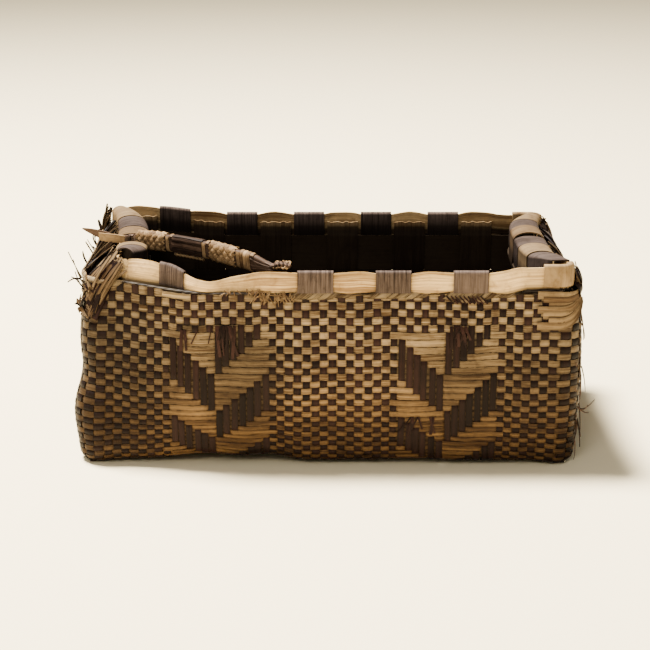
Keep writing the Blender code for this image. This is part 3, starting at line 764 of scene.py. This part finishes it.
# Light wraps over the band at its two right corners
turn, ends = np.linspace(0, 0.75, 8), np.array((0.93, 0.965))
front_places = np.concatenate((side_station(FRONT, ends), 2 * FRONT + 1 + turn))
back_places = np.concatenate((2 * BACK - turn[::-1], side_station(BACK, ends[::-1])))
for name, places in (("front", front_places), ("back", back_places)):
    lay_splint(f"corner_wrap_{name}_splint", fold_rows(places), places * 0.02, 0.75, wide_light, "rim_splint",
               f"corner_wrap_{name}")

# Bound strap
# A stiff flat handle, hung by its neck on the left end of the rim: a dark core, plaited
# over with light strips near both ends, bound with flat cane and cased in dark splints.
strap_tan = splint_finish(
    "bound cane", (0.055, 0.027, 0.010), (0.31, 0.20, 0.10), (0.030, 0.015, 0.008), 0.0008)
strap_brown = splint_finish(
    "dark bound cane", (0.011, 0.006, 0.0042), (0.105, 0.062, 0.040), (0.010, 0.006, 0.004), 0.0008)
strap_rest = np.array((-0.1431, -0.0021, 0.1355))
strap_direction, strap_side, strap_up = np.array(((0.83978, -0.54293, 0), (0.54293, 0.83978, 0), (0, 0, 1)))
strap_run, strap_bow, core_height, core_thickness = 0.104895, 0.003, 0.0104, 0.0046
neck_height, neck_thickness, cane_thickness = 0.0050, 0.0024, 0.0006
section_stations = np.linspace(0, ROUND, 129)
section_arc = travelled(np.stack(plan_points(section_stations, 0.0033, 0.0062, 0.0024), axis=1))
around_strap = section_arc[-1]


def bow_height(distance):
    share = distance / strap_run
    return strap_bow * 4 * share * (1 - share)


def strap_points(distance, round_share, stand=0, height=core_height, thickness=core_thickness):
    """Points that stand off the strap, by distance from its rest and share of the way round."""
    height, thickness = height + 2 * stand, thickness + 2 * stand
    station = np.interp(round_share % 1, section_arc / around_strap, section_stations)
    across, upward = plan_points(station, thickness / 2, height / 2, thickness * 0.42)
    across, upward, distance = np.broadcast_arrays(across, upward + bow_height(distance), distance)
    middle = strap_rest + distance[..., None] * strap_direction
    return middle + across[..., None] * strap_side + upward[..., None] * strap_up


def bundle(name, lines, points, across, spread, tones, thickness, *looks, **options):
    """One piece of all the strips or strands that run along several lines of points."""
    count, size = lines.shape[:2]
    along = np.concatenate([travelled(line) for line in lines])[:, None]
    gaps = gaps_after(count, size)[:, None] if count > 1 else None
    tones = np.repeat(np.broadcast_to(tones, count), size)[:, None]
    splint_grid(name, points.reshape(count * size, -1, 3), along + tones * 7, across + tones * spread, tones,
                thickness, *looks, gaps=gaps, **options)


def strands(name, lines, radius, tones, *looks, sides=6, **options):
    """Round strands of fibre along lines of points."""
    lines = np.asarray(lines, float)
    ahead = np.gradient(lines, axis=1)
    aside = unit(np.cross(ahead, (0.31, 0.23, 0.95)))
    above = unit(np.cross(aside, ahead))
    angle = np.linspace(0, 2 * math.pi, sides + 1)
    ring = aside[:, :, None] * np.cos(angle)[:, None] + above[:, :, None] * np.sin(angle)[:, None]
    radius = np.broadcast_to(radius, lines.shape[:2])[..., None, None]
    bundle(name, lines, lines[:, :, None] + ring * radius, angle * 0.001, 0, tones, 0.0002, *looks, **options)


def ribbons(name, lines, half_widths, outward, tones, *looks, thickness=0.0006, **options):
    """Flat strips along lines of points, with their broad faces outwards."""
    lines = np.asarray(lines, float)
    across = unit(np.cross(np.gradient(lines, axis=1), outward))
    half_widths = np.broadcast_to(half_widths, lines.shape[:2])[..., None]
    points = np.stack([lines + across * half_widths * step for step in (-1, 0, 1)], axis=2)
    bundle(name, lines, points, fine_across, 5, tones, thickness, *looks, **options)


# Core, from the slim neck to the bare far end
distance = np.concatenate(((0.0050, 0.0053, 0.0130, 0.0150, 0.0165), np.linspace(0.022, 0.1165, 18),
                           (0.123, 0.1285, 0.1295)))
size = np.interp(distance, (0.0050, 0.0053, 0.0130, 0.0165, 0.1165, 0.1285, 0.1295),
                 (0.3, 1, 1, 2.08, 2.08, 1.1, 0.3))[:, None]
distance, size_aside = distance[:, None], np.minimum(size, 1.92)
points = strap_points(distance, np.linspace(0, 1, 33), 0, neck_height * size, neck_thickness * size_aside)
splint_grid("strap_core_stem", points, distance, np.linspace(0, 0.03, 33), 0.5, 0.0003, strap_brown,
            "strap_dark", "strap_core", body="strap")
lines = []
for strand in range(9):
    distance = np.linspace(0.108, 0.1285 + 0.002 * rng.random(), 9)
    shrink = np.linspace(1.06, 0.45, 9) + rng.normal(0, 0.03, 9)
    turned = strand / 9 + 0.06 * np.sin(np.linspace(0, 3, 9) + strand)
    lines.append(strap_points(distance, turned, 0, core_height * shrink, core_thickness * shrink))
strands("strap_bare_strands", lines, 0.0008, rng.random(9), strap_brown, "strap_dark", body="strap")


def plait(name, start, end, node, count=6, strip=0.0033):
    """Light strips wound both ways round the strap, over and under one another."""
    crossings = round(2 * count * (end - start) / around_strap)
    share = np.linspace(0, 1, 4 * crossings + 1)[:, None]
    across = np.array((-0.5, 0, 0.5)) * strip
    lines, tones = [], []
    for way in (1, -1):
        for strand in range(count):
            turned = strand / count + way * (crossings / (2 * count) * share - across * 0.7 / around_strap)
            distance = start + strip * 0.4 + (end - start - strip * 0.8) * share + across * 0.7
            lift = way * 0.00045 * np.cos(share * crossings * math.pi) + (-0.0003, 0.0002, -0.0003)
            lines.append(strap_points(distance, turned, 0.0010 + lift))
            tones += [rng.random()] * len(share)
    tones = np.clip(np.array(tones)[:, None] * 0.5 + rng.random((len(tones), 1)) * 0.5, 0, 1)
    along = np.tile(np.linspace(0, end - start, len(share)) * 1.4, 2 * count)[:, None]
    splint_grid(name, np.concatenate(lines), along + tones, across, tones, cane_thickness, strap_tan,
                "strap_cane", node, body="strap", gaps=gaps_after(2 * count, len(share))[:, None])


def wind(name, start, turns, width, height, thickness, *looks):
    """Flat cane wound round and round, each turn beside the last."""
    across, stand = np.array((0, 0.5, 1)) * width, 0.0006 + np.array((0, 0.00025, 0))
    turned = np.linspace(0, turns, 28 * turns + 1)[:, None]
    points = strap_points(start + (width + 0.0004) * turned + across, turned + 0.62, stand, height, thickness)
    splint_grid(name, points, turned * around_strap, across, 0.5 + 0.3 * np.sin(turned * 4), cane_thickness,
                *looks, body="strap")


plait("strap_plait_near", 0.0165, 0.0424, "strap_braid_near")
plait("strap_plait_far", 0.079035, 0.101335, "strap_braid_far")
for place, start, turns in (("near", 0.042715, 1), ("mid", 0.073435, 1), ("far", 0.1016, 4)):
    wind(f"strap_wraps_{place}", start, turns, 0.0024, core_height, core_thickness, strap_tan, "strap_cane",
         f"strap_winding_{place}")
wind("strap_tie_wraps", 0.0065, 2, 0.0018, neck_height, neck_thickness, strap_brown, "strap_dark",
     "strap_tie")

# Casing of dark splints laid lengthwise, and the beaded cord along its lower edge
strips = 9
distance = np.linspace(0.048315, 0.073115, 8)[:, None]
around = ((np.arange(strips)[:, None] + (-0.43, 0, 0.43)) / strips).ravel() + 0.004 * np.sin(distance * 300)
points = strap_points(distance, around, 0.0007 + np.tile((-0.0001, 0.0002, -0.0001), strips))
splint_grid("strap_casing", points, distance, around * around_strap, np.repeat(rng.random(strips), 3),
            cane_thickness, strap_brown, "strap_dark", "strap_panel", body="strap", gaps=gaps_after(strips))
distance = np.linspace(0.0486, 0.0728, 73)
line = strap_rest + distance[:, None] * strap_direction
line[:, 2] += bow_height(distance) - 0.0076
strands("strap_beaded_edge", [line], 0.0006 + 0.0004 * np.abs(np.sin(distance * 1100)), 0.9, strap_tan,
        "strap_cane", "strap_edging", body="strap", sides=8)

# Knotted fibre from the far end up onto the rim
start, end = strap_points(np.array((0.1265, 0.1295)), 0.25, 0, 0.001, 0.001)
finish_point = np.array((-0.0232, -0.0868, 0.1375))
share = np.linspace(0, 1, 61)[:, None]
line = start + (finish_point - start) * share + share * (1 - share) * (0.001, -0.002, 0.008)
reach = 0.0004 + 0.0009 * np.abs(np.sin(share * math.pi * 5))
lines = []
for strand in range(3):
    turn = share * 30 + strand * 2 * math.pi / 3
    turned = np.concatenate((0.5 * np.cos(turn), 0.9 * np.cos(turn), np.sin(turn)), axis=1)
    lines.append(line + reach * turned)
strands("strap_knots", lines, 0.00075, (0.2, 0.6, 0.9), strap_brown, "strap_dark", "strap_end_knots",
        body="strap")
lines = []
for loop in range(5):
    centre = line[14 + 10 * loop] + rng.normal(0, 0.0004, 3)
    turn = np.linspace(0, 5.4, 14)[:, None] + loop
    turned = np.concatenate((0.0016 * np.cos(turn), 0.0022 * np.sin(turn), 0.0020 * np.sin(turn + 1)), axis=1)
    lines.append(centre + turned)
strands("strap_knot_loops", lines, 0.0006, rng.random(5), strap_tan, "strap_cane", body="strap")

# Light tail out over the rim, and the dark tongue behind it
tail_start = strap_rest + strap_direction * 0.0047
outward, sideways = np.array(((-0.9020, 0.4318, 0), (0.4318, 0.9020, 0)))
share = np.linspace(0, 1, 9)[:, None]
line = tail_start + outward * 0.0215 * share - sideways * 0.0005 * np.sin(share * math.pi)
ribbons("strap_tail_splint", [line], 0.0025 + 0.0004 * np.sin(share[:, 0] * 3), sideways, 0.85, strap_tan,
        "strap_cane", "strap_tail", thickness=splint_thickness)
line = tail_start + outward * (0.0140 + 0.0220 * share) + sideways * 0.0012 + share * (0, 0, 0.004)
ribbons("strap_tongue_splint", [line], 0.0031 * (1 - 0.88 * share[:, 0] ** 2), sideways, 0.75, strap_brown,
        "strap_dark", "strap_tongue", thickness=splint_thickness)

# Torn ends and loose fibres
# At the left end the cover's splints are torn and lean in over the rim. Shorter ends
# stick out under the front rim, at the right corner and along the right edge.
on_cover, ground_gap = 0.0048, 0.002


def bend(start, middle, end, count=7):
    """Points on the bow from start to end that the middle pulls into shape."""
    share = np.linspace(0, 1, count)[:, None]
    return start * (1 - share) ** 2 + middle * 2 * share * (1 - share) + end * share ** 2


def torn(name, count, low, high, material, reach, width, lift, sway,
         foot=(0.096, 0.116), top=0.1355, slant=0.06):
    """Torn ends that start on the cover and lean in over the rim, or hang loose."""
    lines, outward = [], []
    for place in rng.uniform(low, high, count):
        start = wall_points(place, rng.uniform(*foot), 0.0045)
        normal = wall_normals(place, np.float64(0.1), COVER)
        if rng.random() < reach:
            end = wall_points(place + rng.normal(-0.03, slant), rng.uniform(0.120, top), 0.0050, RIM)
            end = end + rng.normal(0, 0.0015, 3)
            middle = (start + end) / 2 + normal * rng.uniform(0.002, 0.005)
        else:
            middle = start + normal * 0.004 + (0, 0, 0.006)
            end = start + normal * rng.uniform(0.001, sway)
            end = end + (0, rng.normal(0, 0.006), rng.uniform(-0.05, 1) * lift)
        lines.append(bend(start, middle, end))
        outward.append(normal)
    half = rng.uniform(width * 0.4, width, (count, 1)) / 2 * (1, 1, 1, 1, 1, 0.9, 0.6)
    # Painted shade: each strip is darker along both edges, and a little in the middle.
    ribbons(name, lines, half, np.array(outward)[:, None], rng.uniform(0, 0.8, count), material, "fine_weave",
            soot=(0.75, 0.3, 0.75))


torn("torn_dark_ends", 110, 5.6, 7.78, fine_dark, 0.9, 0.0046, 0.012, 0.007)
torn("torn_light_ends", 120, 5.6, 7.84, wide_light, 0.93, 0.0048, 0.010, 0.008)
torn("torn_strings", 16, 5.9, 7.4, fine_dark, 0.3, 0.0017, 0.018, 0.010)
torn("right_shoulder_dark", 170, 1.70, 3.85, fine_dark, 1.1, 0.0050, 0, 0, (0.1155, 0.1200), 0.131, 0.12)
torn("right_shoulder_light", 80, 1.75, 3.80, wide_light, 1.1, 0.0040, 0, 0, (0.1160, 0.1195), 0.132, 0.12)

# Splints bunched round the front right corner, the lower ones drawn up towards the first
bunch_top, bunch_count = 0.1190, 7
share, lines = np.linspace(0, 1, 9), []
for step in range(bunch_count):
    height = bunch_top - 0.0034 * step
    places = np.linspace(0.955 + 0.012 * (step % 3), 1.75, len(share))
    heights = height - 0.0008 * np.sin(np.linspace(0, 3, len(share)))
    heights = heights + (bunch_top - height) * 0.7 * share ** 2
    lines.append(wall_points(places, heights, 0.0043 + 0.0004 * (step % 2)))
# Painted shade: each strip is darker along both edges.
ribbons("corner_bunch", lines, rng.uniform(0.0018, 0.0027, (bunch_count, 1)), (0.25, -1, 0),
        rng.random(bunch_count), wide_light, "fine_weave", thickness=0.0007, soot=(0.6, 0.1, 0.6))

# Loose splints on the front
float_groups = ((-0.0645, 0.0045, 0.0985, 0.076, 16), (0.0835, 0.0035, 0.098, 0.082, 9),
                (0.062, 0.0060, 0.036, 0.020, 8), (-0.092, 0.0060, 0.095, 0.080, 5))
lines, half = [], []
for middle, spread, high, low, count in float_groups:
    for _ in range(count):
        x = middle + rng.normal(0, spread)
        places = front_station(x + np.linspace(0, rng.normal(0, 0.0035), 7))
        heights = np.linspace(high, rng.uniform(low, (low + high) / 2), 7)
        lines.append(wall_points(places, heights, 0.0042 + 0.0008 * np.sin(np.linspace(0, 3.1, 7))))
        half.append(rng.uniform(0.0003, 0.0011))
ribbons("loose_dark_floats", lines, np.array(half)[:, None], (0, -1, 0), rng.random(len(lines)), fine_dark,
        "fine_weave", thickness=0.0004)
lines = []
for x in np.linspace(0.078, 0.100, 9):
    places = front_station(x + np.linspace(0, 0.0045, 7))
    lines.append(wall_points(places, np.linspace(0.1185, 0.1130, 7), on_cover))
ribbons("slanting_stitches", lines, 0.0005, (0, -1, 0), rng.random(9), fine_dark, "fine_weave")
places = front_station(np.linspace(-0.107, -0.087, 7))
# Painted shade: the strip is darker along both edges.
ribbons("long_light_float", [wall_points(places, 0.1168, 0.0046)], 0.0019, (0, -1, 0), 0.7, fine_light,
        "fine_weave", soot=(0.6, 0, 0.6))


def fibre(place, height, offset, fall, bow=(0, 0, 0)):
    """A loose fibre from a place on the cover to where it has fallen, bowed at its middle."""
    start = wall_points(place, height, offset)
    end = start + fall
    end[2] = max(end[2], ground_gap)
    return bend(start, (start + end) / 2 + bow, end)


lines = [fibre(
    front_station(rng.uniform(-0.045, -0.019)), rng.uniform(0.1175, 0.1215), on_cover,
    (rng.normal(0, 0.003), -rng.uniform(0, 0.002), -rng.uniform(0.002, 0.007)), (0, -0.0015, 0.0005),
) for _ in range(46)]
lines += [fibre(
    front_station(rng.choice((-0.065, -0.046)) + rng.normal(0, 0.003)), rng.uniform(0.1195, 0.1235), on_cover,
    (rng.normal(0, 0.002), -0.0008, -rng.uniform(0.001, 0.003)),
) for _ in range(26)]
strands("rim_fuzz", lines, np.linspace(0.0003, 0.00012, 7), rng.random(len(lines)) * 0.6, wide_light,
        "rim_splint", sides=4)

lines = [fibre(
    rng.uniform(1.5, 2.2), rng.uniform(0.015, 0.118), 0.0038,
    (rng.uniform(-0.0003, 0.0022), rng.normal(0, 0.006), -rng.uniform(0.006, 0.026)), (0.0012, 0, 0),
) for _ in range(30)]
start = wall_points(1.72, 0.040, 0.0036)
for tip in ((0.0105, -0.004, 0.0065), (0.0080, 0.002, -0.0050), (0.0060, -0.006, 0.0035)):
    lines.append(bend(start, start + (0.004, -0.002, -0.004), start + tip))
strands("edge_fibres", lines, np.linspace(0.0004, 0.00018, 7), rng.random(len(lines)), strap_brown,
        "fine_weave", sides=4)

# Studio
# A pale seamless floor, soft light from above and the left, and the photograph's camera.
bpy.ops.mesh.primitive_plane_add(size=14, location=(0, 0, 0))
ground = bpy.context.object
ground.name = "ground"
paper = Recipe("pale paper", 0.9)
paper.shader.inputs["Base Color"].default_value = (0.88, 0.76, 0.50, 1)
ground.data.materials.append(paper.material)


def look_at(thing, place, target):
    thing.location = place
    thing.rotation_euler = (target - Vector(place)).to_track_quat("-Z", "Y").to_euler()


lights = (("key", (-0.70, 0.42, 2.4), 500, 0.55), ("front", (-0.7, -2.2, 1.7), 32, 1.0))
for name, place, power, size in lights:
    light = bpy.data.lights.new(name, "AREA")
    light.energy, light.size, light.color = power, size, (1.0, 0.95, 0.87)
    lamp = bpy.data.objects.new(name, light)
    bpy.context.scene.collection.objects.link(lamp)
    look_at(lamp, place, Vector((0, 0, 0.06)))

world = bpy.data.worlds.new("studio")
bpy.context.scene.world = world
world.use_nodes = True
sky = world.node_tree.nodes["Background"].inputs
sky["Color"].default_value, sky["Strength"].default_value = (1.0, 0.965, 0.90, 1), 0.36

# Camera, with its focal length and the centre of its view in pixels of the photograph
elevation, distance, focal = math.radians(16.735), 1.1059, 1561.2
picture_width, view_centre, sensor_width = 650, 325.78, 36
target = Vector((0, 0, 0.0721))
camera = bpy.data.objects.new("camera", bpy.data.cameras.new("camera"))
bpy.context.scene.collection.objects.link(camera)
look_at(camera, target + distance * Vector((0, -math.cos(elevation), math.sin(elevation))), target)
camera.data.sensor_width = sensor_width
camera.data.lens = focal / picture_width * sensor_width
camera.data.shift_x = (picture_width / 2 - view_centre) / picture_width
camera.data.clip_start = 0.05
bpy.context.scene.camera = camera
